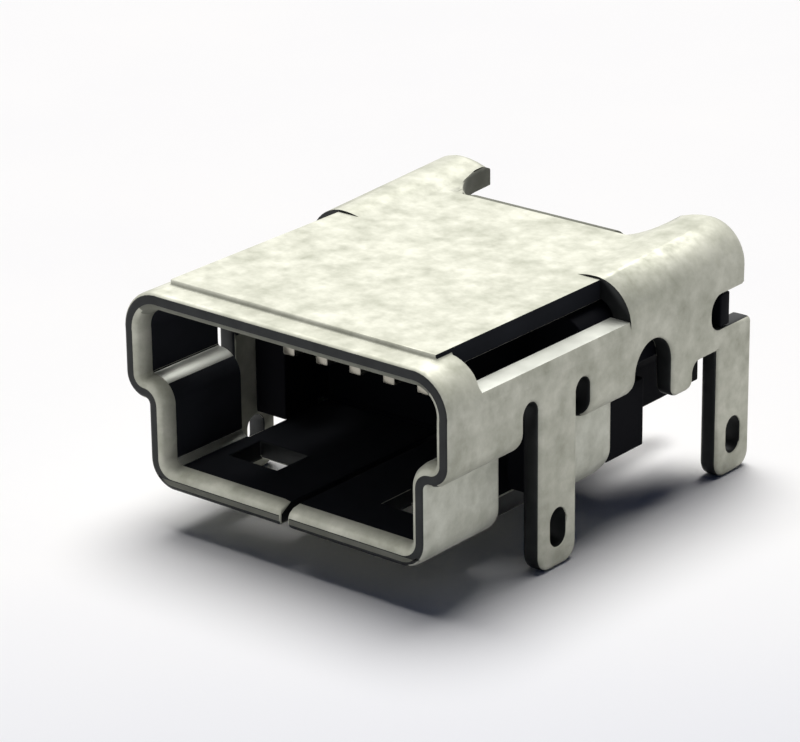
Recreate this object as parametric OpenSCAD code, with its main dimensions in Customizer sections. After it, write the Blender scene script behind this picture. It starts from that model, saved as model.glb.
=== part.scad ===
// Five-contact charging port connector for a circuit board: a folded sheet shell on four
// solder legs, a black insulator with a tongue, and five contacts under the tongue.
// Millimetres, +Z up. The mouth looks along -Y, and the part stands on its legs.

/* [Shell] */
// Outside width of the shell across its wide upper part
shell_w = 7.7; // [7.5:0.1:8.1]
// Outside width of the shell across its narrow lower part
narrow_w = 6.6; // [6.5:0.02:6.7]
// Outside height of the mouth
mouth_h = 3.85; // [3.75:0.05:4.0]
// Length of the shell from the mouth to its rear edge
shell_len = 9.15; // [9.05:0.1:9.75]
// Thickness of the folded sheet
sheet_t = 0.4; // [0.32:0.02:0.42]
// Outside radius of the upper corners
corner_r = 0.82; // [0.72:0.05:0.92]
// Outside radius of the lower corners
bottom_r = 0.55; // [0.45:0.05:0.65]
// Height at which the wide walls start to turn inwards
fold_z = 2.15; // [2.05:0.02:2.23]
// Outside radius of that turn
fold_r = 0.46; // [0.45:0.01:0.53]
// Depth of the lower band round the mouth, in front of the raised top plate
band_len = 0.52; // [0.4:0.01:0.65]
// Height of the raised top plate over the band
plate_rise = 0.1; // [0.05:0.01:0.15]
// Width of the raised top plate
plate_w = 6.26; // [6.06:0.1:6.36]
// Length of the narrow lower part from the mouth
floor_len = 5.55; // [5.45:0.02:5.65]
// Width of the joint where the two edges of the sheet meet in the floor
seam_w = 0.17; // [0.05:0.01:0.25]

/* [Openings in the shell] */
// Front end of the long slots in the upper corners
slot_start = 1; // [0.9:0.05:1.2]
// Rear end of the long slots in the upper corners
slot_end = 5.35; // [5.2:0.05:5.4]
// Height of the lower edge of the long slots
slot_z = 3.27; // [3.2:0.01:3.35]
// Width of each latch window in the floor
latch_w = 1.2; // [1:0.05:1.3]
// Length of each latch window in the floor
latch_len = 0.9; // [0.7:0.05:0.95]
// Distance of the latch windows' middle from the centre line
latch_x = 1.85; // [1.65:0.05:1.95]
// Front end of the latch windows
latch_y = 1.25; // [1.1:0.05:1.3]
// Radius of the rear lower corners of the narrow walls
heel_r = 0.65; // [0.5:0.05:0.75]
// Rear end of the arched notch in the side walls
arch_end = 6.69; // [6.6:0.01:6.75]
// Height of the top of the arched notch
arch_z = 2.7; // [2.64:0.01:2.74]
// Lower edge of the notch in the rear edge of the side walls
notch_z = 2.25; // [2.2:0.01:2.3]
// Height of the notch in the rear edge of the side walls
notch_h = 0.7; // [0.6:0.02:0.74]
// Length of the notch in the rear edge of the side walls
notch_len = 1.15; // [1.08:0.01:1.2]
// Radius of the corners of that notch
notch_r = 0.3; // [0.2:0.02:0.3]

/* [Rear shoulders] */
// Height of the rear shoulders over the top plate at the rear edge
shoulder_rise = 0.23; // [0.17:0.02:0.31]
// Height of the shoulders over the top plate at the rear ends of the slots
shoulder_start = 0.05; // [0.02:0.01:0.12]
// Width of the soft slope from the top plate to a shoulder
shoulder_run = 1.25; // [1.15:0.05:1.25]
// Distance from the middle of that slope down to the shoulder's free inner edge
lip_in = 0.04; // [0.03:0.01:0.1]
// Radius of the corner between the top plate's rear edge and that free edge
lip_r = 1; // [0.8:0.05:1.05]
// Width of the flap that closes the rear
flap_w = 3.5; // [3.2:0.1:4.2]
// Distance from the rear edge of the shell to the flap's outer face
flap_back = 1; // [0.8:0.05:1.05]
// Outside radius of the flap's bend
flap_r = 0.5; // [0.45:0.05:0.6]
// Height of the flap's lower edge
flap_z = 1.5; // [1.2:0.05:1.8]

/* [Legs] */
// Reach of the legs below the board's surface
leg_drop = 0.83; // [0.7:0.01:1.2]
// Width of each leg
leg_w = 1.13; // [1.01:0.02:1.19]
// Distance of the front legs' middle from the mouth
front_leg_y = 3.16; // [3.1:0.01:3.2]
// Distance of the rear legs' middle from the rear edge of the shell
rear_leg_back = 0.41; // [0.38:0.01:0.46]
// Radius of the legs' lower corners
leg_r = 0.34; // [0.2:0.02:0.4]
// Width of the relief on each side of a front leg
relief_w = 0.43; // [0.31:0.02:0.45]
// Height of the top of the reliefs beside a front leg
relief_z = 2.63; // [2.55:0.02:2.69]
// Width of the hole in each leg
hole_w = 0.47; // [0.37:0.02:0.51]
// Height of the hole in each leg
hole_h = 0.76; // [0.62:0.02:0.82]
// Height of the middle of the hole above the board's surface
hole_z = -0.04; // [-0.12:0.01:0.04]
// Width of the short tab behind the arched notch
tab_w = 0.7; // [0.6:0.02:0.74]
// Height of the tab's lower edge
tab_z = 1.34; // [1.2:0.02:1.46]
// Radius of the tab's lower corners and of the nook behind it
tab_r = 0.2; // [0.14:0.01:0.24]
// Height of the side wall's lower edge between the tab and a rear leg
skirt_z = 1.83; // [1.75:0.01:1.89]

/* [Insulator] */
// Gap between the insulator and the pieces round it
fit = 0.02; // [0.01:0.01:0.03]
// Distance of the insulator's front face from the mouth
block_start = 4.45; // [4.35:0.05:4.6]
// Distance of the insulator's rear cheeks from the rear edge of the shell
cheek_back = 0.22; // [0.15:0.01:0.3]
// Distance of the tongue's front end from the mouth
tongue_start = 2.0; // [1.8:0.05:2.2]
// Width of the tongue
tongue_w = 4.4; // [4.2:0.05:4.6]
// Height of the tongue's lower face
tongue_z = 2.53; // [2.49:0.01:2.57]
// Thickness of the tongue
tongue_t = 0.66; // [0.5:0.02:0.7]
// Width of the foot behind the shell's floor
foot_w = 6.3; // [6:0.05:6.4]
// Rear end of the foot
foot_end = 6.75; // [6.45:0.05:6.95]
// Height of the foot over the board
foot_z = 0.23; // [0.1:0.01:0.3]
// Height of the insulator's underside behind the foot
under_z = 0.8; // [0.7:0.02:0.96]
// Room between the front of the contacts' recess and the flap
recess_room = 0.7; // [0.6:0.05:0.9]
// Width of the recess for the contacts
recess_w = 4.7; // [4.6:0.05:4.8]
// Length of the lugs in the rear notches
lug_len = 0.6; // [0.5:0.02:0.7]
// Distance by which the lugs stay below the outer face of the shell
lug_low = 0.06; // [0.02:0.01:0.12]
// Width of the rib on top of the insulator, under the top plate
rib_w = 4; // [3:0.1:4.6]
// Length of that rib
rib_len = 1.3; // [1:0.1:1.4]
// Distance of that rib from the slots' rear end
rib_gap = 0.3; // [0.1:0.05:0.3]
// Thickness of the ears along the side walls, beside the room for the plug
ear_t = 0.2; // [0.15:0.01:0.25]

/* [Contacts] */
// Distance from one contact to the next
pitch = 0.8; // [0.75:0.01:0.82]
// Width of a contact
contact_w = 0.28; // [0.24:0.01:0.32]
// Thickness of a contact
contact_t = 0.18; // [0.14:0.01:0.2]
// Distance of the contacts' tips behind the tongue's front end
tip_back = 0.05; // [0.02:0.01:0.2]
// Inside radius of a contact's bends
bend_r = 0.15; // [0.12:0.01:0.16]
// Reach of the soldered tails behind the rear edge of the shell
tail_out = 0.3; // [0.25:0.01:0.5]

/* [Hidden] */
$fn = 64;
// Extra length that lets a cutting solid run past the face it cuts
past = 1;
// Small lap by which two solids of the same sheet run into each other
lap = 0.1;
// Height by which the upper corners of the mouth stand proud of the flat walls
crown = 0.005;
// Half widths of the shell's upper and lower parts
half_w = shell_w / 2;
half_n = narrow_w / 2;
// Outside radius of the nook under the turned wall
nook_r = half_w - half_n - fold_r;
// Height at which the upper corners start to curve
corner_z = mouth_h - corner_r;
// Height of the top plate, and of the shell at its highest
plate_z = mouth_h + plate_rise;
// Height of the shoulders' front ends, and the angle at which they rise towards the rear
shoulder_z = plate_z + shoulder_start;
shoulder_tilt = atan((shoulder_rise - shoulder_start) / (shell_len - slot_end));
// Middle of the upper corners' rounding
crest_x = half_w - corner_r;
// Free inner edges of the shoulders
lip_x = crest_x - shoulder_run / 2 - lip_in;
// Outer face of the flap, and where its bend leaves the top plate
flap_y = shell_len - flap_back;
bend_y = flap_y - flap_r;
// Reach of the front legs' window under the walls
window_x = half_n - bottom_r;
// Middle of the rear legs
rear_leg_y = shell_len - rear_leg_back;
// Rear faces of the insulator's cheeks, and the front of the recess between them
cheek_y = shell_len - cheek_back;
recess_y = flap_y - sheet_t - recess_room;
// Front end of the insulator's rib
rib_start = slot_end + rib_gap;
// Middle of a contact's first bend, and the front face of its upright part
bend_z = tongue_z - contact_t - bend_r;
upright_y = recess_y + bend_r;
tail_y = upright_y + contact_t + bend_r;
// Length of the part from the mouth to the ends of the tails
total_len = shell_len + tail_out;

// Sets a piece down with the part's middle on the origin and its legs on the ground
module seated() {
    translate([0, -total_len / 2, leg_drop])
        children();
}

// Repeats a piece on the other side of the centre line
module both_sides() {
    children();
    mirror([1, 0, 0])
        children();
}

// Draws an outline across the part and runs it from y0 to y1
module along(y0, y1) {
    translate([0, y1, 0])
        rotate([90, 0, 0])
            linear_extrude(y1 - y0)
                children();
}

// Draws an outline in side view and runs it from x0 to x1
module across(x0, x1) {
    translate([x0, 0, 0])
        rotate([90, 0, 90])
            linear_extrude(x1 - x0)
                children();
}

// Rectangle between two corners
module area(x0, y0, x1, y1) {
    translate([x0, y0])
        square([x1 - x0, y1 - y0]);
}

// Block between two corners
module block(x0, y0, z0, x1, y1, z1) {
    translate([x0, y0, z0])
        cube([x1 - x0, y1 - y0, z1 - z0]);
}

// Round spot of an outline
module spot(x, y, r) {
    translate([x, y])
        circle(r);
}

// Filled corner that leaves a hollow of radius r round the point x, y, towards sx, sy
module nook(x, y, r, sx, sy) {
    difference() {
        area(min(x, x + sx * r), min(y, y + sy * r), max(x, x + sx * r), max(y, y + sy * r));
        spot(x, y, r);
    }
}

// Outline of the mouth, drawn inwards by the given inset
module mouth_outline(inset) {
    fold_x = half_w - fold_r;
    nook_z = fold_z - fold_r - nook_r;
    low_x = half_n - bottom_r;
    area(inset - half_w, fold_z, half_w - inset, corner_z);
    area(-crest_x, fold_z, crest_x, mouth_h - inset);
    area(-fold_x, fold_z - fold_r + inset, fold_x, corner_z);
    area(inset - half_n, bottom_r, half_n - inset, corner_z);
    area(-low_x, inset, low_x, corner_z);
    for (side = [-1, 1]) {
        spot(side * crest_x, corner_z, corner_r - inset + crown);
        spot(side * fold_x, fold_z, fold_r - inset);
        spot(side * low_x, bottom_r, bottom_r - inset);
        nook(side * fold_x, nook_z, nook_r + inset, -side, 1);
    }
}

// Area under a soft slope that starts level at the origin and ends level at run, rise;
// it is drawn inwards by the given inset and reaches down to -deep
module slope(run, rise, inset, deep) {
    slope_r = (run * run + rise * rise) / (4 * rise);
    top_z = rise - slope_r;
    joint_x = run - (slope_r - inset) * run / (2 * slope_r);
    joint_z = top_z + (slope_r - inset) * (2 * slope_r - rise) / (2 * slope_r);
    difference() {
        area(0, -deep, joint_x, joint_z);
        spot(0, slope_r, slope_r + inset);
    }
    intersection() {
        spot(run, top_z, slope_r - inset);
        area(joint_x, joint_z - lap, run, rise);
    }
    area(joint_x, -deep, run, joint_z);
}

// Area under the right-hand shoulder with its crest at the height of the axis,
// drawn inwards by the given inset and reaching down to -deep
module shoulder_outline(inset, deep) {
    translate([crest_x - shoulder_run, -shoulder_rise])
        slope(shoulder_run, shoulder_rise, inset, deep - shoulder_rise);
    intersection() {
        spot(crest_x, -corner_r, corner_r - inset);
        area(crest_x, -corner_r, half_w + past, past);
    }
}

// Right-hand shoulder: the sheet runs up over the slope and down into the side wall,
// and its crest rises from the slot to the rear edge
module shoulder() {
    intersection() {
        translate([0, slot_end, shoulder_z])
            rotate([shoulder_tilt, 0, 0])
                along(-past, shell_len)
                    difference() {
                        shoulder_outline(0, corner_r);
                        shoulder_outline(sheet_t, corner_r + past);
                    }
        block(0, slot_end, 0, half_w + past, shell_len, shoulder_z + past);
    }
}

// Folded tube behind the mouth; its narrow lower part is the longer one
module tube() {
    difference() {
        along(0, floor_len)
            difference() {
                mouth_outline(0);
                mouth_outline(sheet_t);
            }
        block(-shell_w, slot_end, fold_z, shell_w, floor_len + past, plate_z);
    }
}

// Tube and shoulders with the raised top plate over them
module shell_top() {
    difference() {
        union() {
            tube();
            both_sides()
                shoulder();
        }
        block(-plate_w / 2, band_len + sheet_t, fold_z, plate_w / 2, shell_len + past, plate_z - sheet_t);
    }
    block(-plate_w / 2, band_len, plate_z - sheet_t, plate_w / 2, bend_y, plate_z);
}

// Side view of one leg
module leg_outline(y) {
    y0 = y - leg_w / 2;
    y1 = y + leg_w / 2;
    area(y0, leg_r - leg_drop, y1, notch_z + lap);
    area(y0 + leg_r, -leg_drop, y1 - leg_r, notch_z);
    spot(y0 + leg_r, leg_r - leg_drop, leg_r);
    spot(y1 - leg_r, leg_r - leg_drop, leg_r);
}

// Side view of the hole in one leg
module leg_hole(y) {
    half_run = (hole_h - hole_w) / 2;
    area(y - hole_w / 2, hole_z - half_run, y + hole_w / 2, hole_z + half_run);
    spot(y, hole_z - half_run, hole_w / 2);
    spot(y, hole_z + half_run, hole_w / 2);
}

// Side view of the short tab behind the arched notch
module tab_outline() {
    tab_end = arch_end + tab_w;
    area(arch_end, tab_z + tab_r, tab_end, fold_z);
    area(arch_end + tab_r, tab_z, tab_end - tab_r, fold_z);
    spot(arch_end + tab_r, tab_z + tab_r, tab_r);
    spot(tab_end - tab_r, tab_z + tab_r, tab_r);
    nook(tab_end + tab_r, skirt_z - tab_r, tab_r, -1, 1);
}

// Side view of a flat side wall with its legs, before the notches are cut
module side_outline() {
    intersection() {
        area(slot_end, fold_z, shell_len, shoulder_z);
        translate([slot_end, shoulder_z])
            rotate(shoulder_tilt)
                area(-past, -mouth_h, shell_len, -corner_r);
    }
    area(arch_end, skirt_z, rear_leg_y, fold_z + lap);
    tab_outline();
    leg_outline(front_leg_y);
    leg_outline(rear_leg_y);
}

// Side view of an opening with a round top that runs up from below
module round_top(y0, y1, top_z) {
    r = (y1 - y0) / 2;
    area(y0, -leg_drop - past, y1, top_z - r);
    spot(y0 + r, top_z - r, r);
}

// Side view of the notch in the rear edge
module notch_outline() {
    y0 = shell_len - notch_len;
    y1 = shell_len + past;
    area(y0 + notch_r, notch_z, y1, notch_z + notch_h);
    area(y0, notch_z + notch_r, y1, notch_z + notch_h - notch_r);
    spot(y0 + notch_r, notch_z + notch_r, notch_r);
    spot(y0 + notch_r, notch_z + notch_h - notch_r, notch_r);
}

// Side view of everything cut from the side walls
module side_cuts() {
    round_top(front_leg_y - leg_w / 2 - relief_w, front_leg_y - leg_w / 2, relief_z);
    round_top(front_leg_y + leg_w / 2, front_leg_y + leg_w / 2 + relief_w, relief_z);
    round_top(floor_len, arch_end, arch_z);
    leg_hole(front_leg_y);
    leg_hole(rear_leg_y);
    notch_outline();
}

// Openings on the right-hand side of the shell
module right_openings() {
    across(window_x, half_w + past)
        side_cuts();
    across(window_x, half_w + past)
        nook(floor_len - heel_r, heel_r, heel_r, 1, -1);
    block(plate_w / 2, slot_start, slot_z, half_w + past, slot_end, plate_z + past);
    block(latch_x - latch_w / 2, latch_y, -past, latch_x + latch_w / 2, latch_y + latch_len, fold_z);
}

// Openings on the centre line of the shell
module middle_openings() {
    block(-seam_w / 2, -past, -past, seam_w / 2, floor_len + past, fold_z - fold_r);
    block(-window_x, floor_len - heel_r, -past, window_x, floor_len + past, fold_z - fold_r);
    translate([0, 0, fold_z])
        linear_extrude(plate_z + past - fold_z)
            difference() {
                area(-lip_x, bend_y, lip_x, shell_len + past);
                for (side = [-1, 1])
                    nook(side * (lip_x - lip_r), bend_y + lip_r, lip_r, side, -1);
            }
}

// Side view of the flap, from the top plate round its bend to its lower edge
module flap_outline() {
    difference() {
        union() {
            area(bend_y - lap, plate_z - flap_r, bend_y, plate_z);
            spot(bend_y, plate_z - flap_r, flap_r);
            area(bend_y, flap_z, flap_y, plate_z - flap_r);
        }
        area(bend_y - flap_r - past, flap_z - past, flap_y - sheet_t, plate_z - flap_r);
        area(bend_y - flap_r - past, plate_z - flap_r - lap, bend_y, plate_z - sheet_t);
        spot(bend_y, plate_z - flap_r, flap_r - sheet_t);
    }
}

// Shell folded from one sheet, with its legs, tabs, shoulders and rear flap
module shell() {
    color("silver")
        seated() {
            difference() {
                union() {
                    difference() {
                        shell_top();
                        both_sides()
                            block(window_x, front_leg_y - leg_w / 2 - relief_w, -past,
                                  half_w - sheet_t, front_leg_y + leg_w / 2 + relief_w, fold_z);
                    }
                    both_sides()
                        across(half_w - sheet_t, half_w)
                            side_outline();
                }
                both_sides()
                    right_openings();
                middle_openings();
            }
            across(-flap_w / 2, flap_w / 2)
                flap_outline();
        }
}

// Body of the insulator behind the tongue, before the contacts' channels are cut
module insulator_body() {
    difference() {
        union() {
            along(block_start, cheek_y)
                mouth_outline(sheet_t + fit);
            block(-foot_w / 2, floor_len + fit, foot_z, foot_w / 2, foot_end, fold_z - fold_r - nook_r);
            block(-rib_w / 2, rib_start, fold_z, rib_w / 2, rib_start + rib_len, plate_z - sheet_t - fit);
        }
        block(-half_w, foot_end, -past, half_w, shell_len, under_z);
        block(-recess_w / 2, recess_y, -past, recess_w / 2, shell_len, plate_z);
    }
}

// Lug that sits in the rear notch of the right-hand side wall
module lug() {
    y0 = shell_len - notch_len + fit;
    block(half_w - sheet_t - lap, y0 + notch_r, notch_z + fit,
          half_w - lug_low, y0 + lug_len, notch_z + notch_h - fit);
}

// Ear that fills the window behind the right-hand front leg and runs back to the body
module ear() {
    narrow_x = half_n - sheet_t - fit;
    inner_x = narrow_x - ear_t;
    rear_y = front_leg_y + leg_w / 2 + relief_w - fit;
    block(inner_x, front_leg_y, sheet_t + fit, half_w - sheet_t - fit, rear_y, fold_z - fold_r + sheet_t);
    block(inner_x, rear_y - lap, bottom_r, narrow_x, block_start + lap, fold_z - fold_r - nook_r);
}

// Moulded insulator with the tongue that carries the contacts
module insulator() {
    color("dimgray")
        seated()
            difference() {
                union() {
                    insulator_body();
                    block(-tongue_w / 2, tongue_start, tongue_z, tongue_w / 2, block_start + lap, tongue_z + tongue_t);
                    both_sides() {
                        lug();
                        ear();
                    }
                }
                for (place = [-2, -1, 0, 1, 2])
                    block(place * pitch - contact_w / 2 - fit, tongue_start - past, tongue_z - contact_t - fit,
                          place * pitch + contact_w / 2 + fit, shell_len, tongue_z);
            }
}

// Side view of a contact: along the tongue, down behind the insulator, out over the board
module contact_outline() {
    outer_r = bend_r + contact_t;
    area(tongue_start + tip_back, tongue_z - contact_t, recess_y, tongue_z);
    difference() {
        intersection() {
            spot(recess_y, bend_z, outer_r);
            area(recess_y, bend_z, recess_y + outer_r, bend_z + outer_r);
        }
        spot(recess_y, bend_z, bend_r);
    }
    area(upright_y, outer_r, upright_y + contact_t, bend_z);
    difference() {
        intersection() {
            spot(tail_y, outer_r, outer_r);
            area(tail_y - outer_r, 0, tail_y, outer_r);
        }
        spot(tail_y, outer_r, bend_r);
    }
    area(tail_y, 0, total_len, contact_t);
}

// One contact, counted from the centre line
module contact(place) {
    color("goldenrod")
        seated()
            translate([place * pitch, 0, 0])
                across(-contact_w / 2, contact_w / 2)
                    contact_outline();
}

// First contact from the left, seen from the mouth
module contact_1() {
    contact(-2);
}

// Second contact
module contact_2() {
    contact(-1);
}

// Third contact, on the centre line
module contact_3() {
    contact(0);
}

// Fourth contact
module contact_4() {
    contact(1);
}

// Fifth contact
module contact_5() {
    contact(2);
}

shell();
insulator();
contact_1();
contact_2();
contact_3();
contact_4();
contact_5();
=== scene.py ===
# %% [markdown]
# # A small charging socket for a circuit board
# The socket is a shell folded from one plated sheet, a black moulded insulator with a tongue, and
# five gilded contacts under the tongue. The solids come from the CAD model, in metres, and stay
# where they are. This file gives them rounded edges, finishes, a floor, light and a camera.

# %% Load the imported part
import math

import bmesh
import bpy
from mathutils import Matrix, Vector


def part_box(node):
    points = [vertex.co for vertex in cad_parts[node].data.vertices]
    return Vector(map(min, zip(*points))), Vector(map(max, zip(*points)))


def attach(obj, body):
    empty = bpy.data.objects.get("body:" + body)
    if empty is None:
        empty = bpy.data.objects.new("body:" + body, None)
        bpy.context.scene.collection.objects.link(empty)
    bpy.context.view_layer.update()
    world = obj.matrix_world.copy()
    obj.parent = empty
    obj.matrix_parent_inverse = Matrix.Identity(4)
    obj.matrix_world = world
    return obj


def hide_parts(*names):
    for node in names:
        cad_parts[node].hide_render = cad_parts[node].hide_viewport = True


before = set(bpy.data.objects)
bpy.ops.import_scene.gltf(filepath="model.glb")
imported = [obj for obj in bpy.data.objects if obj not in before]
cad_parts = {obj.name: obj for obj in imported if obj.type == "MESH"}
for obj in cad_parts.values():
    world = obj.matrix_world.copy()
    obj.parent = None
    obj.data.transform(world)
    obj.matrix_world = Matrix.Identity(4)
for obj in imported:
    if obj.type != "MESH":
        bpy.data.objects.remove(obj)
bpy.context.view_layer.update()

MM = 0.001
scene = bpy.context.scene
print("nodes:", sorted(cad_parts))

# %% [markdown]
# ## Places on the part
# The CAD model is drawn from the mouth's plane and from the board's surface, and then set down with
# its middle on the origin and its legs on the ground. The two shifts below lead back to that view,
# in which the sizes are easy to read: y runs rearwards from the mouth, z upwards from the board, and
# x is counted from the middle to either side, because the two halves are mirror images. All sizes in
# this file are in millimetres, and are turned into metres where Blender needs them.

# %% Places on the part
MOUTH_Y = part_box("shell")[0].y / MM
BOARD_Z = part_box("contact_1")[0].z / MM
SLOT_FRONT, SLOT_REAR = 1.0, 5.35
TUBE_END = 5.6
PLATE_REAR, SHELL_REAR = 7.65, 9.15
LEG_MIDDLES = 3.16, 8.74


def local(point):
    return Vector((abs(point.x), point.y - MOUTH_Y, point.z - BOARD_Z))


print("mouth plane at y =", round(MOUTH_Y, 3), "mm, board at z =", round(BOARD_Z, 3), "mm")

# %% [markdown]
# ## Helpers for nodes
# Colours are written as the hex values that a screen shows, and shaders want them linear, so one
# function turns one into the other. The second function adds a node to a tree: settings are given by
# name, and an input takes either a plain value or the output of another node, which is then linked.

# %% Helpers for nodes
def linear(hex_colour):
    parts = [int(hex_colour[i:i + 2], 16) / 255 for i in (1, 3, 5)]
    return [c / 12.92 if c <= 0.04045 else ((c + 0.055) / 1.055) ** 2.4 for c in parts] + [1.0]


def add(tree, kind, inputs=None, **settings):
    made = tree.nodes.new(kind)
    for name, value in settings.items():
        setattr(made, name, value)
    for name, value in (inputs or {}).items():
        if isinstance(value, bpy.types.NodeSocket):
            tree.links.new(value, made.inputs[name])
        else:
            made.inputs[name].default_value = value
    return made


print("mid grey in linear light:", round(linear("#808080")[0], 3))

# %% [markdown]
# ## Helpers for finishes
# No surface here has one even colour, so every finish starts from a soft noise between a darker and
# a lighter tone. The size of its patches is given in millimetres on the real object. The noise is
# handed back too, because the same patches can also change the sheen or raise the surface.

# %% Helpers for finishes
def new_material(name):
    material = bpy.data.materials.new(name)
    material.use_nodes = True
    material.node_tree.nodes.clear()
    return material, material.node_tree


def mottled(tree, patch, dark, light, detail=3.0, roughness=0.5, ends=(0.0, 1.0)):
    place = add(tree, "ShaderNodeTexCoord").outputs["Object"]
    noise = add(tree, "ShaderNodeTexNoise", {
        "Vector": place, "Scale": 1 / (patch * MM), "Detail": detail, "Roughness": roughness})
    ramp = add(tree, "ShaderNodeValToRGB", {"Fac": noise.outputs["Fac"]})
    for stop, position, tone in zip(ramp.color_ramp.elements, ends, (dark, light)):
        stop.position = position
        stop.color = linear(tone)
    return noise.outputs["Fac"], ramp.outputs["Color"]


def surface(tree, inputs):
    shader = add(tree, "ShaderNodeBsdfPrincipled", inputs)
    add(tree, "ShaderNodeOutputMaterial", {"Surface": shader.outputs["BSDF"]})


print("helpers for finishes are ready")

# %% [markdown]
# ## Camera
# The photograph looks at the mouth from its right and from above, with a long lens. The angle and
# the distance were worked out from the object's own corners. The camera's axes are built from the
# angles, so that the small roll of the picture is there too.

# %% Camera
AZIMUTH, ELEVATION, ROLL = (math.radians(a) for a in (39.495, 21.484, -0.651))
EYE = Vector((41.066, MOUTH_Y - 46.466, BOARD_Z + 27.433)) * MM
SENSOR, IMAGE_WIDTH, FOCAL_PIXELS = 36, 800, 3727.0
flat_out = math.cos(ELEVATION)
back = Vector((math.sin(AZIMUTH) * flat_out, -math.cos(AZIMUTH) * flat_out, math.sin(ELEVATION)))
right = Vector((math.cos(AZIMUTH), math.sin(AZIMUTH), 0))
turned_right = math.cos(ROLL) * right + math.sin(ROLL) * back.cross(right)
turned_up = back.cross(turned_right)
axes = Matrix((turned_right, turned_up, back)).transposed().to_4x4()
lens = bpy.data.cameras.new("camera")
lens.sensor_width = SENSOR
lens.lens = SENSOR * FOCAL_PIXELS / IMAGE_WIDTH
lens.clip_start, lens.clip_end = 1 * MM, 2000 * MM
camera = bpy.data.objects.new("camera", lens)
camera.matrix_world = Matrix.Translation(EYE) @ axes
scene.collection.objects.link(camera)
scene.camera = camera
print("lens:", round(lens.lens, 1), "mm, distance:", round(EYE.length / MM, 1), "mm")

# %% [markdown]
# ## Floor
# The socket stands on pale paper, which is one large square with a faint cloudiness of 6 mm. Towards
# the viewer the paper is painted a little greyer and cooler, a painted shade for the light falling off
# there, so a second tone is mixed in along the line that runs from the far left to the near right.

# %% Floor
FLOOR_HALF = 600
GREY_FROM, GREY_TO = 4, 16


def make_floor():
    h = FLOOR_HALF * MM
    mesh = bpy.data.meshes.new("floor")
    mesh.from_pydata([(-h, -h, 0), (h, -h, 0), (h, h, 0), (-h, h, 0)], [], [(0, 1, 2, 3)])
    floor = bpy.data.objects.new("floor", mesh)
    scene.collection.objects.link(floor)
    material, tree = new_material("pale paper")
    clouds, tone = mottled(tree, 6, "#F9F9FA", "#FEFDFC")
    place = add(tree, "ShaderNodeTexCoord").outputs["Object"]
    xyz = add(tree, "ShaderNodeSeparateXYZ", {"Vector": place}).outputs
    ahead = add(tree, "ShaderNodeMath", {0: xyz["X"], 1: xyz["Y"]}, operation="SUBTRACT")
    # painted shade: the paper turns greyer and cooler towards the near right
    near = add(tree, "ShaderNodeMapRange", {
        "Value": ahead.outputs[0], "From Min": GREY_FROM * MM, "From Max": GREY_TO * MM})
    paper = add(tree, "ShaderNodeMix", {
        "Factor": near.outputs["Result"], "A": tone, "B": linear("#EBECF0")}, data_type="RGBA")
    surface(tree, {
        "Base Color": paper.outputs["Result"], "Roughness": 0.9, "Specular IOR Level": 0.1})
    mesh.materials.append(material)


make_floor()
print("floor:", 2 * FLOOR_HALF, "mm square")

# %% [markdown]
# ## Softbox
# One wide soft light stands nearly straight above, so the shadow stays under the socket and fades
# outwards. An area lamp could stand for it, but a sun gives light that doesn't fall off towards the
# edges of the picture, and its wide angle makes the shadow's rim as soft as a large softbox does.

# %% Softbox
scene.view_settings.view_transform = "Standard"
lamp = bpy.data.lights.new("overhead softbox", "SUN")
lamp.energy = 3.3
lamp.angle = math.radians(42)
lamp.color = (1.0, 0.99, 0.97)
softbox = bpy.data.objects.new("overhead softbox", lamp)
softbox.matrix_world = Vector((-0.2, 0.24, 1)).to_track_quat("Z", "Y").to_matrix().to_4x4()
scene.collection.objects.link(softbox)
print("softbox: strength", round(lamp.energy, 1), "over", round(math.degrees(lamp.angle)), "degrees")

# %% [markdown]
# ## Room
# The world plays three parts, which Light Path keeps apart. The camera sees plain white past the
# floor. The metal mirrors a pale room that is dimmer on the right, which tells its sides from its top.
# Everything else gets only a trace of blue, as a window would give, and that tints the shadow. The
# room is left out after a diffuse bounce and after a second mirroring, because the metal would
# otherwise throw it into the shadow and into the mouth.

# %% Room
ROOM_LEFT, ROOM_RIGHT = 1.0, 0.6
world = bpy.data.worlds.new("white room")
scene.world = world
world.use_nodes = True
world.cycles.sampling_method = "NONE"
tree = world.node_tree
tree.nodes.clear()
path = add(tree, "ShaderNodeLightPath").outputs
way = add(tree, "ShaderNodeTexCoord").outputs["Generated"]
sideways = add(tree, "ShaderNodeSeparateXYZ", {"Vector": way}).outputs["X"]
level = add(tree, "ShaderNodeMapRange", {
    "Value": sideways, "From Min": -0.5, "From Max": 0.4, "To Min": ROOM_LEFT, "To Max": ROOM_RIGHT})
mirrored = add(tree, "ShaderNodeMath", {
    0: path["Is Glossy Ray"], 1: path["Is Transmission Ray"]}, operation="MAXIMUM").outputs[0]
for depth, most in (("Ray Depth", 2.5), ("Diffuse Depth", 0.5)):
    early = add(tree, "ShaderNodeMath", {0: path[depth], 1: most}, operation="LESS_THAN").outputs[0]
    mirrored = add(tree, "ShaderNodeMath", {0: mirrored, 1: early}, operation="MULTIPLY").outputs[0]
fill = add(tree, "ShaderNodeBackground", {"Color": linear("#5C8CFF"), "Strength": 0.03})
room = add(tree, "ShaderNodeBackground", {
    "Color": linear("#FFFFFF"), "Strength": level.outputs["Result"]})
white = add(tree, "ShaderNodeBackground", {"Color": linear("#FFFFFF"), "Strength": 1.0})
lit = add(tree, "ShaderNodeMixShader", {0: mirrored, 1: fill.outputs[0], 2: room.outputs[0]})
seen = add(tree, "ShaderNodeMixShader", {
    0: path["Is Camera Ray"], 1: lit.outputs[0], 2: white.outputs[0]})
add(tree, "ShaderNodeOutputWorld", {"Surface": seen.outputs[0]})
print("room: mirrored at", ROOM_LEFT, "on the left and", ROOM_RIGHT, "on the right")
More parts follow.
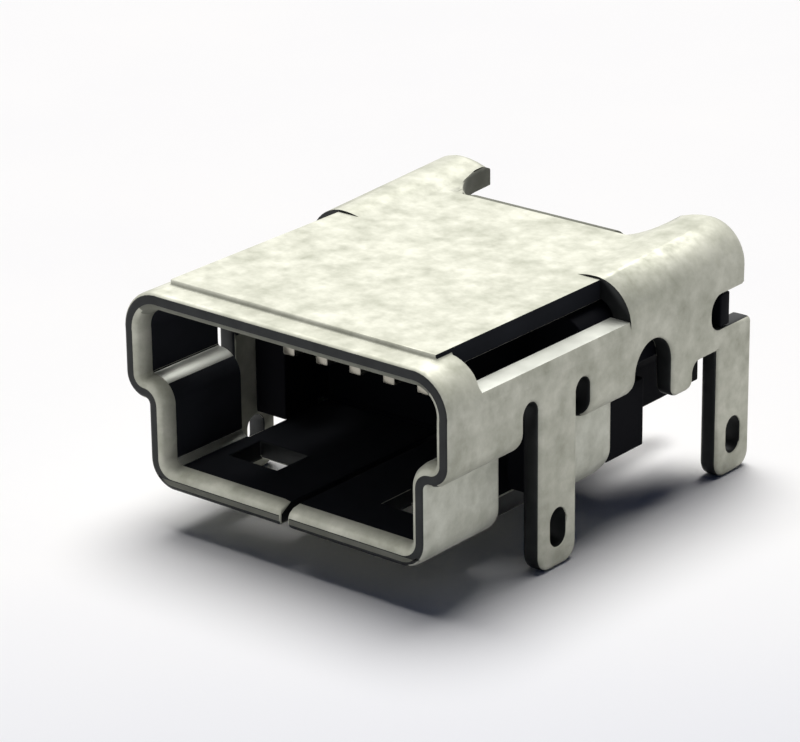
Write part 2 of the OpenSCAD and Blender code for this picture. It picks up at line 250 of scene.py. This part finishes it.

# %% [markdown]
# ## Plated sheet
# The shell is cold-rolled steel strip with a matt tin plating. To the eye that is a pale warm metal
# with a wide, dull sheen, clouded in patches of about 0.8 mm where the plating settled, and with
# duller spots of about 0.25 mm. Real spots are finer, and are drawn this coarse so that they show.
# A picture of real plating could be laid on, but noise needs no file and has no seams at the bends.
# The narrow lower walls get a paler copy of it, painted light for the light they catch, so the finish is
# made twice.

# %% Plated sheet
def plated_sheet(name, dark, light):
    material, tree = new_material(name)
    clouds, tone = mottled(tree, 0.8, dark, light, detail=6.0, roughness=0.65, ends=(0.3, 0.65))
    place = add(tree, "ShaderNodeTexCoord").outputs["Object"]
    spots = add(tree, "ShaderNodeTexNoise", {
        "Vector": place, "Scale": 1 / (0.25 * MM), "Detail": 2.0}).outputs["Fac"]
    dull = add(tree, "ShaderNodeMapRange", {
        "Value": spots, "From Min": 0.35, "From Max": 0.7, "To Min": 0.64, "To Max": 0.78})
    bump = add(tree, "ShaderNodeBump", {"Height": spots, "Strength": 0.12, "Distance": 0.01 * MM})
    surface(tree, {
        "Base Color": tone, "Metallic": 1.0,
        "Roughness": dull.outputs["Result"], "Normal": bump.outputs["Normal"]})
    return material


PLATED = plated_sheet("tin-plated steel sheet", "#A6A79A", "#C8C8BD")
# a paler copy of the plating: painted light for the narrow lower walls
LIT_SHEET = plated_sheet("tin-plated steel sheet, painted lighter", "#B4B5A9", "#D4D5CB")
print("made", PLATED.name, "and", LIT_SHEET.name)

# %% [markdown]
# ## Painted shade inside, and sheared edges
# The inner face is painted a dark, matt tone, so the inside of the mouth is nearly black: painted
# shade, not the colour of the metal. The strip is plated before it is punched, so the punch leaves bare
# steel on the edges that it cuts: dark grey, with a weak sheen, and painted darker still for shade.

# %% Painted shade inside, and sheared edges
def inner_shade_face():
    material, tree = new_material("inner face, painted shade")
    # a dark, matt tone: painted shade for the inside of the mouth
    clouds, tone = mottled(tree, 0.8, "#232428", "#303237")
    surface(tree, {
        "Base Color": tone, "Metallic": 0.2, "Roughness": 0.9, "Specular IOR Level": 0.05})
    return material


def sheared_edge_and_shade():
    material, tree = new_material("sheared bare steel, painted shade")
    # bare steel, painted darker to stand for the shade on the cut edges
    marks, tone = mottled(tree, 0.3, "#1A1B1C", "#353737")
    surface(tree, {"Base Color": tone, "Metallic": 0.6, "Roughness": 0.5})
    return material


INNER_SHADE = inner_shade_face()
SHEARED_AND_SHADE = sheared_edge_and_shade()
print("made", INNER_SHADE.name, "and", SHEARED_AND_SHADE.name)

# %% [markdown]
# ## Painted light and half shade on the tin
# On the long lower edges of the slots and on the ledges inside the mouth, which catch light, the tin
# is painted as the same metal, only paler and brighter: painted light. Under the top of the rim, on the
# front of the floor and at a few more places that lie in half shade, the tin is painted a dull grey that
# hardly shines at all: painted half shade.

# %% Painted light and half shade on the tin
def painted_light_edge():
    material, tree = new_material("tin, painted light")
    # a pale, bright tone: painted light
    light_patches, tone = mottled(tree, 0.5, "#DADCD3", "#F0F2EA")
    dull = add(tree, "ShaderNodeMapRange", {"Value": light_patches, "To Min": 0.4, "To Max": 0.5})
    surface(tree, {"Base Color": tone, "Metallic": 1.0, "Roughness": dull.outputs["Result"]})
    return material


def half_shade_edge():
    material, tree = new_material("tin, painted half shade")
    # a dull mid grey: painted half shade
    half_shade_patches, tone = mottled(tree, 0.3, "#75766B", "#93948A")
    surface(tree, {
        "Base Color": tone, "Metallic": 0.2, "Roughness": 0.9, "Specular IOR Level": 0.05})
    return material


PAINTED_LIGHT = painted_light_edge()
HALF_SHADE = half_shade_edge()
print("made", PAINTED_LIGHT.name, "and", HALF_SHADE.name)

# %% [markdown]
# ## Black plastic and gilded strip
# The insulator is moulded from a glass-filled plastic that stands the heat of soldering: nearly black
# and matt, with a faint grain. The real grain is far finer than the 0.15 mm drawn here, which is as
# fine as can show. The contacts are copper alloy strip under a very thin layer of gold, so they are a
# pale, slightly warm metal with a clear shine.

# %% Black plastic and gilded strip
def black_plastic():
    material, tree = new_material("glass-filled black plastic")
    grain, tone = mottled(tree, 0.15, "#020308", "#06070E")
    bump = add(tree, "ShaderNodeBump", {"Height": grain, "Strength": 0.2, "Distance": 0.01 * MM})
    surface(tree, {
        "Base Color": tone, "Roughness": 0.7, "IOR": 1.55, "Specular IOR Level": 0.07,
        "Normal": bump.outputs["Normal"]})
    return material


def gilded_strip():
    material, tree = new_material("gilded copper alloy")
    wear, tone = mottled(tree, 0.4, "#9A968A", "#BDB9AC")
    dull = add(tree, "ShaderNodeMapRange", {"Value": wear, "To Min": 0.25, "To Max": 0.45})
    surface(tree, {"Base Color": tone, "Metallic": 1.0, "Roughness": dull.outputs["Result"]})
    return material


PLASTIC = black_plastic()
GILDED = gilded_strip()
print("made", PLASTIC.name, "and", GILDED.name)

# %% [markdown]
# ## Rounded edges
# No real edge is perfectly sharp: tumbling and plating round the sheet, and a mould rounds the plastic.
# A copy of a solid's triangles is merged and its flat faces are joined, and then a bevel rounds every
# edge sharper than 35 degrees. A shader could fake such edges, but an exported mesh would lose them.
# The bevel works in millimetres, because its tolerances are made for things of about that size, and
# an edge's bevel weight sets its share of the full width.

# %% Rounded edges
SHARP, FLAT = math.radians(35), math.radians(1)
MERGE = 0.0005


def merged_copy(node_name):
    mesh = bmesh.new()
    mesh.from_mesh(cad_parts[node_name].data)
    mesh.transform(Matrix.Scale(1 / MM, 4))
    bmesh.ops.remove_doubles(mesh, verts=mesh.verts[:], dist=MERGE)
    bmesh.ops.dissolve_limit(
        mesh, angle_limit=FLAT, verts=mesh.verts[:], edges=mesh.edges[:], use_dissolve_boundaries=False)
    return mesh


def plain_mesh(piece):
    return bpy.data.meshes.new_from_object(
        piece.evaluated_get(bpy.context.evaluated_depsgraph_get()))


def rounded_piece(mesh, piece_name, width, steps, width_of):
    layer = mesh.edges.layers.float.new("bevel_weight_edge")
    for edge in mesh.edges:
        if edge.is_manifold and edge.calc_face_angle(0) > SHARP:
            edge[layer] = width_of(edge) / width
    data = bpy.data.meshes.new(piece_name)
    mesh.to_mesh(data)
    mesh.free()
    draft = bpy.data.objects.new(piece_name + "_draft", data)
    scene.collection.objects.link(draft)
    bevel = draft.modifiers.new("rounding", "BEVEL")
    bevel.limit_method = "WEIGHT"
    bevel.width = width
    bevel.segments = steps
    bevel.use_clamp_overlap = False
    final = plain_mesh(draft)
    bpy.data.objects.remove(draft)
    final.transform(Matrix.Scale(MM, 4))
    final.materials.clear()
    piece = bpy.data.objects.new(piece_name, final)
    scene.collection.objects.link(piece)
    return piece


print("edges sharper than", round(math.degrees(SHARP)), "degrees get a rounding")

# %% [markdown]
# ## Smooth shading
# A rounding looks round only if its narrow faces are shaded as one surface. Plain smooth shading would
# also bend the light on the large flat faces beside it, so a Weighted Normal modifier lets the larger
# face decide. Edges of more than 40 degrees that have no rounding stay sharp.

# %% Smooth shading
SMOOTH = math.radians(40)


def shade_smooth(piece):
    for face in piece.data.polygons:
        face.use_smooth = True
    piece.data.set_sharp_from_angle(angle=SMOOTH)
    weights = piece.modifiers.new("large faces lead", "WEIGHTED_NORMAL")
    weights.keep_sharp = True
    shaded = plain_mesh(piece)
    piece.modifiers.remove(weights)
    piece.data = shaded


print("faces up to", round(math.degrees(SMOOTH)), "degrees apart are shaded as one")

# %% [markdown]
# ## Outer face of the sheet
# A punch draws the sheet's outer face down with it, so edges on the outer face are rolled over, while
# those on the inner face stay fine. To tell them apart, each bend of the stepped outline is given by
# its centre and by a radius just inside the outer face: what lies past that radius is on the outside.
# Only in the nook under the wide walls, which bends the other way, it is what lies within.

# %% Outer face of the sheet
LOWER_BEND = 2.75, 0.55, 0.53
UPPER_BEND = 3.03, 3.03, 0.81
SHOULDER_BEND = 3.03, 3.36, 0.66
FOLD_BEND = 3.39, 2.15, 0.44
NOOK_BEND = 3.39, 1.6, 0.11
WIDE_WALL, NARROW_WALL, NARROW_TOP = 3.85, 3.3, 1.65
AT_REAR = SHELL_REAR - 0.05
NEAR = 0.01


def past_bend(p, bend):
    x, z, radius = bend
    return math.hypot(max(p.x - x, 0), p.z - z) > radius


def on_skin(p):
    on_narrow_wall = abs(p.x - NARROW_WALL) < NEAR and p.z < NARROW_TOP
    if p.x > WIDE_WALL - NEAR or p.z < NEAR or on_narrow_wall:
        return True
    if p.z < LOWER_BEND[1]:
        return past_bend(p, LOWER_BEND)
    if p.y > AT_REAR:
        return past_bend(p, SHOULDER_BEND)
    if p.z > UPPER_BEND[1]:
        return past_bend(p, UPPER_BEND)
    if p.x > FOLD_BEND[0]:
        return p.z < FOLD_BEND[1] and past_bend(p, FOLD_BEND)
    x, z, radius = NOOK_BEND
    return math.hypot(p.x - x, p.z - z) < radius


print("middle of the top is on the outer face:", on_skin(Vector((0, 2, 3.95))))

# %% [markdown]
# ## Lead-in of the mouth
# The inner edge of the rim is rounded off to guide the plug, deeper than it is wide. A bevel can only
# round evenly, so it is cut with its real width first, and its points are then pushed rearwards along
# the straight walls. The seam in the floor keeps its plain edges.

# %% Lead-in of the mouth
LEAD_WIDE, LEAD_DEEP, LEAD_STEPS = 0.18, 0.33, 3
SEAM_SIDE = 0.1
TOUCH = 0.001


def cut_lead_in(mesh):
    rim = []
    for edge in mesh.edges:
        ends = [local(v.co) for v in edge.verts]
        at_mouth = all(p.y < NEAR for p in ends)
        beside_seam = max(p.x for p in ends) > SEAM_SIDE
        if at_mouth and beside_seam and not on_skin((ends[0] + ends[1]) / 2):
            rim.append(edge)
    bmesh.ops.bevel(
        mesh, geom=rim, offset=LEAD_WIDE, offset_type="OFFSET", segments=LEAD_STEPS, profile=0.5,
        affect="EDGES", clamp_overlap=False)
    for vertex in mesh.verts:
        depth = local(vertex.co).y
        if TOUCH < depth < LEAD_WIDE + 5 * TOUCH:
            vertex.co.y = MOUTH_Y + depth * LEAD_DEEP / LEAD_WIDE
    return len(rim)


shell_mesh = merged_copy("shell")
print("lead-in cut along", cut_lead_in(shell_mesh), "edges of the rim")

# %% [markdown]
# ## Borders between finishes
# A face carries one finish, so a large flat face that needs two has to be cut in two. A painted mask
# could do it too, but a cut gives a clean border at any distance. It runs across the front of the rim
# at the height of the floor, and across the inner side of the wide walls, where the legs and the part
# behind the tube are plated on both sides.

# %% Borders between finishes
FLOOR_TOP, LEG_TOP = 0.2, 2.13
INNER_WALL = 3.45


def split(mesh, wanted, point, direction):
    faces = [face for face in mesh.faces if all(wanted(local(v.co)) for v in face.verts)]
    edges = list(dict.fromkeys(edge for face in faces for edge in face.edges))
    corners = list(dict.fromkeys(vertex for face in faces for vertex in face.verts))
    bmesh.ops.bisect_plane(
        mesh, geom=faces + edges + corners, plane_co=point, plane_no=direction)
    return len(faces)


def on_front(p):
    return p.y < TOUCH


def on_inner_wall(p):
    return abs(p.x - INNER_WALL) < TOUCH


print("front faces:", split(shell_mesh, on_front, (0, 0, BOARD_Z + FLOOR_TOP), (0, 0, 1)))
print("walls at the legs:", split(shell_mesh, on_inner_wall, (0, 0, BOARD_Z + LEG_TOP), (0, 0, 1)))
print("walls behind:", split(shell_mesh, on_inner_wall, (0, MOUTH_Y + TUBE_END, 0), (0, 1, 0)))

# %% [markdown]
# ## Width of each edge
# Outer edges are rolled over by 0.1 mm, the rear edge of the shoulders by twice that, and the step of
# the top plate and the shoulders' free inner edges by little more than half. Inner edges, the flap and
# the rims of the holes in the legs stay fine. At the rear ends of the slots and at the rear corners of
# the top plate, the CAD surfaces meet in steps too small for a rounding, and those edges stay sharp.

# %% Width of each edge
FINE, STEP, RIM, ROLLED, REAR = 0.03, 0.06, 0.1, 0.1, 0.22
SLOT_FOOT, TOP_FOOT, SHOULDER_FOOT = 2.9, 3.5, 3.0
PLATE_CORNER = 1.7, 2.4
FLAP_SIDE, FREE_EDGE_SIDE = 1.8, 2.6
STEP_END = 1.05
HOLE_LOW, HOLE_HIGH, HOLE_SIDE = -0.8, 0.5, 0.3


def stays_sharp(p):
    at_slot = abs(p.y - SLOT_REAR) < 0.05 and p.z > SLOT_FOOT
    in_corner = PLATE_CORNER[0] < p.x < PLATE_CORNER[1] and p.z > TOP_FOOT
    return at_slot or in_corner and abs(p.y - PLATE_REAR) < 0.03


def shell_width(edge):
    ends = [local(v.co) for v in edge.verts]
    if any(stays_sharp(p) for p in ends):
        return 0.0
    p = (ends[0] + ends[1]) / 2
    flap_edge = p.x < FLAP_SIDE and p.y > PLATE_REAR - 0.02
    from_leg = min(abs(p.y - leg) for leg in LEG_MIDDLES)
    in_hole = HOLE_LOW < p.z < HOLE_HIGH and from_leg < HOLE_SIDE
    if flap_edge or in_hole or not edge.is_convex or not on_skin(p):
        return FINE
    if p.y < NEAR:
        return RIM
    free_edge = PLATE_REAR < p.y < AT_REAR and p.x < FREE_EDGE_SIDE
    front_step = p.y < STEP_END and p.z > TOP_FOOT
    if free_edge or front_step:
        return STEP
    return REAR if p.y > AT_REAR and p.z > SHOULDER_FOOT else ROLLED


shell = rounded_piece(shell_mesh, "folded_shell", REAR, 3, shell_width)
print("shell:", len(shell.data.polygons), "faces")

# %% [markdown]
# ## Finish at the mouth and on the top plate
# The front of the rim is bare steel with painted shade, apart from the floor, painted half shade. The
# lead-in is plated, and painted half shade under the top. The small upright steps at the front and rear
# of the top plate were pressed, not cut, so they keep their tin; the flap's bend is painted half shade.
# In these tests p is a face's middle and n its direction, both as on the right-hand half. A part of n
# that is close to 1 or -1 means that the face looks along that axis, and close to 0 that it lies along it.

# %% Finish at the mouth and on the top plate
LEAD_HIGH = 3.0
STEP_TOP, BEND_TOP = 3.85, 3.6
FLAP_FRONT = 7.0
BESIDE_PLATE = 0.1


def finish_at_mouth(p, n, inwards):
    if p.y < 2 * TOUCH:
        # front of the floor: painted half shade; the rest of the front: bare steel with painted shade
        return HALF_SHADE if p.z < FLOOR_TOP else SHEARED_AND_SHADE
    if p.y < LEAD_DEEP and inwards:
        # under the top the lead-in gets painted half shade
        return HALF_SHADE if p.z > LEAD_HIGH and -n.z > abs(n.x) else PLATED
    under_floor = p.z < 0.05 and n.z < -0.6
    if p.y < RIM and (n.y < -0.8 or under_floor):
        return SHEARED_AND_SHADE
    return None


def on_flap(p):
    return p.x < FLAP_SIDE and p.y > FLAP_FRONT


def finish_on_top(p, n):
    # the flap's bend gets painted half shade
    if on_flap(p) and p.z > BEND_TOP and 0.05 < n.y < 0.4:
        return HALF_SHADE
    if abs(n.y) > 0.9 and p.z > STEP_TOP and p.y < PLATE_REAR + BESIDE_PLATE:
        return PLATED
    if n.y > 0.7 and p.z > BEND_TOP and abs(p.y - PLATE_REAR) < BESIDE_PLATE:
        return PLATED
    return None


print("lead-in is", PLATED.name, "and under the top", HALF_SHADE.name)

# %% [markdown]
# ## Finish of cut faces
# A face that the punch cut runs across the sheet: crosswise to the socket's length, through a side wall
# or through the floor. It is bare steel with painted shade. The long lower edges of the slots are painted
# light instead, and the top plate's own sides over the slots lie in the dark and take the painted shade.

# %% Finish of cut faces
WALL_CUT = 3.48, 3.78, 3.1
PLATE_SIDE = 3.1, 3.16
FLOOR_CUT = 2.8, 0.37
SLOT_EDGE = 3.1, 3.3
STEP_FOOT = 3.8


def finish_of_cut(p, n):
    # the slots' lower edges: painted light
    if SLOT_EDGE[0] < p.z < SLOT_EDGE[1] and n.z > 0.5 and SLOT_FRONT < p.y < SLOT_REAR:
        return PAINTED_LIGHT
    on_step = p.y < SLOT_FRONT and p.z > STEP_FOOT
    crosswise = abs(n.y) > 0.92 and not on_flap(p) and not on_step
    inner_side, outer_side, top = WALL_CUT
    through_wall = inner_side < p.x < outer_side and abs(n.x) < 0.3 and p.z < top
    through_floor = p.x < FLOOR_CUT[0] and p.z < FLOOR_CUT[1] and abs(n.z) < 0.3
    if crosswise or through_wall or through_floor:
        return SHEARED_AND_SHADE
    # the plate's sides over the slots: painted shade
    if PLATE_SIDE[0] < p.x < PLATE_SIDE[1] and n.x > 0.9 and p.z > TOP_FOOT:
        return INNER_SHADE
    return None


print("cut faces are", SHEARED_AND_SHADE.name, "and slot edges", PAINTED_LIGHT.name)

# %% [markdown]
# ## Finish inside and outside
# What is left is the sheet's own two faces. Outside it is plated, with a paler tone painted as light on
# the narrow lower walls. Inside it is painted dark for shade, with three exceptions: the ledges and lower
# corners are painted light, the shoulders' inner side at the rear is painted half shade, and the legs and
# the walls behind the tube are plated.

# %% Finish inside and outside
LIT_WALL = 2.7, 3.35, 1.7
LEDGE = 1.6, 2.2
CORNER_TOP, LIGHT_SIDE = 0.7, 2.6
SHOULDER_INSIDE, LEG_SIDE = 3.3, 3.4


def finish_outside(p):
    inner_side, outer_side, top = LIT_WALL
    narrow = inner_side < p.x < outer_side and p.z < top and p.y < TUBE_END
    # the narrow lower walls take the paler copy: painted light
    return LIT_SHEET if narrow else PLATED


def finish_inside(p, n):
    # ledges and lower corners: painted light; shoulders' inner rear: painted half shade; the rest of the
    # inside: painted shade
    on_ledge = LEDGE[0] < p.z < LEDGE[1] and n.z > 0.75
    in_corner = p.z < CORNER_TOP and n.z > 0.2 and n.x < -0.2
    if p.x > LIGHT_SIDE and p.y < SLOT_REAR and (on_ledge or in_corner):
        return PAINTED_LIGHT
    if p.y > PLATE_REAR + BESIDE_PLATE and p.z > SHOULDER_INSIDE:
        return HALF_SHADE
    on_leg = p.x > LEG_SIDE and p.z < LEG_TOP and n.x < -0.9
    return PLATED if p.y > TUBE_END or on_leg else INNER_SHADE


print("inside is", INNER_SHADE.name, "and outside", PLATED.name)

# %% [markdown]
# ## Shell
# Each face of the rounded shell now takes the first finish whose test it meets. A face looks inwards if
# its direction points towards a line through the middle of the mouth.

# %% Shell
MOUTH_MIDDLE = 2.6
FINISHES = [PLATED, INNER_SHADE, SHEARED_AND_SHADE, PAINTED_LIGHT, HALF_SHADE, LIT_SHEET]


def finish_of(face):
    side = 1 if face.center.x > 0 else -1
    p = local(face.center / MM)
    n = Vector((side * face.normal.x, face.normal.y, face.normal.z))
    inwards = n.x * p.x + n.z * (p.z - MOUTH_MIDDLE) < 0
    for found in (finish_at_mouth(p, n, inwards), finish_on_top(p, n), finish_of_cut(p, n)):
        if found is not None:
            return found
    return finish_inside(p, n) if inwards else finish_outside(p)


for material in FINISHES:
    shell.data.materials.append(material)
for face in shell.data.polygons:
    face.material_index = FINISHES.index(finish_of(face))
shade_smooth(shell)
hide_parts("shell")
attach(shell, "root")
print("shell:", len({face.material_index for face in shell.data.polygons}), "finishes in use")

# %% [markdown]
# ## Insulator
# The insulator holds the contacts and carries the tongue that goes into the plug. The moulding keeps
# its CAD form. Subdivision would swell its flat sides, so its edges get the same bevel as the shell's,
# with 0.03 mm, which is what a small mould leaves.

# %% Insulator
insulator = rounded_piece(
    merged_copy("insulator"), "moulded_insulator", FINE, 2, lambda edge: FINE)
insulator.data.materials.append(PLASTIC)
shade_smooth(insulator)
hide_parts("insulator")
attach(insulator, "root")
print("insulator:", len(insulator.data.polygons), "faces")

# %% [markdown]
# ## Row of contacts
# Five equal contacts lie side by side. They are punched from one strip, so one rounded contact is
# enough. An Array modifier could repeat it, but in Geometry Nodes the count, the spacing and the finish
# are inputs with names. The copies are made real in the tree, and the result is kept as a plain mesh.

# %% Tree for the row
tree = bpy.data.node_groups.new("row of contacts", "GeometryNodeTree")
new_socket = tree.interface.new_socket
new_socket("Geometry", in_out="INPUT", socket_type="NodeSocketGeometry")
count = new_socket("Count", in_out="INPUT", socket_type="NodeSocketInt")
spacing = new_socket("Spacing", in_out="INPUT", socket_type="NodeSocketFloat")
finish = new_socket("Finish", in_out="INPUT", socket_type="NodeSocketMaterial")
new_socket("Geometry", in_out="OUTPUT", socket_type="NodeSocketGeometry")
given = add(tree, "NodeGroupInput").outputs
step = add(tree, "ShaderNodeCombineXYZ", {"X": given["Spacing"]})
line = add(tree, "GeometryNodeMeshLine", {"Count": given["Count"], "Offset": step.outputs[0]})
copies = add(tree, "GeometryNodeInstanceOnPoints", {
    "Points": line.outputs[0], "Instance": given["Geometry"]})
real = add(tree, "GeometryNodeRealizeInstances", {"Geometry": copies.outputs[0]})
coated = add(tree, "GeometryNodeSetMaterial", {
    "Geometry": real.outputs[0], "Material": given["Finish"]})
add(tree, "NodeGroupOutput", {"Geometry": coated.outputs[0]})
print("tree:", len(tree.nodes), "nodes")

# %% [markdown]
# The spacing is measured on the CAD model, from the first contact to the last, so the row always lies
# where the solids are.

# %% Contacts
CONTACTS = ["contact_1", "contact_2", "contact_3", "contact_4", "contact_5"]
contacts = rounded_piece(merged_copy(CONTACTS[0]), "contact_row", FINE, 2, lambda edge: FINE)
row = contacts.modifiers.new("row", "NODES")
row.node_group = tree
row[count.identifier] = len(CONTACTS)
apart = (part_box(CONTACTS[-1])[0].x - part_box(CONTACTS[0])[0].x) / (len(CONTACTS) - 1)
row[spacing.identifier] = apart
row[finish.identifier] = GILDED
made = plain_mesh(contacts)
contacts.modifiers.remove(row)
contacts.data = made
shade_smooth(contacts)
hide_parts(*CONTACTS)
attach(contacts, "root")
print("contacts:", len(made.polygons), "faces, spacing", round(apart / MM, 2), "mm")
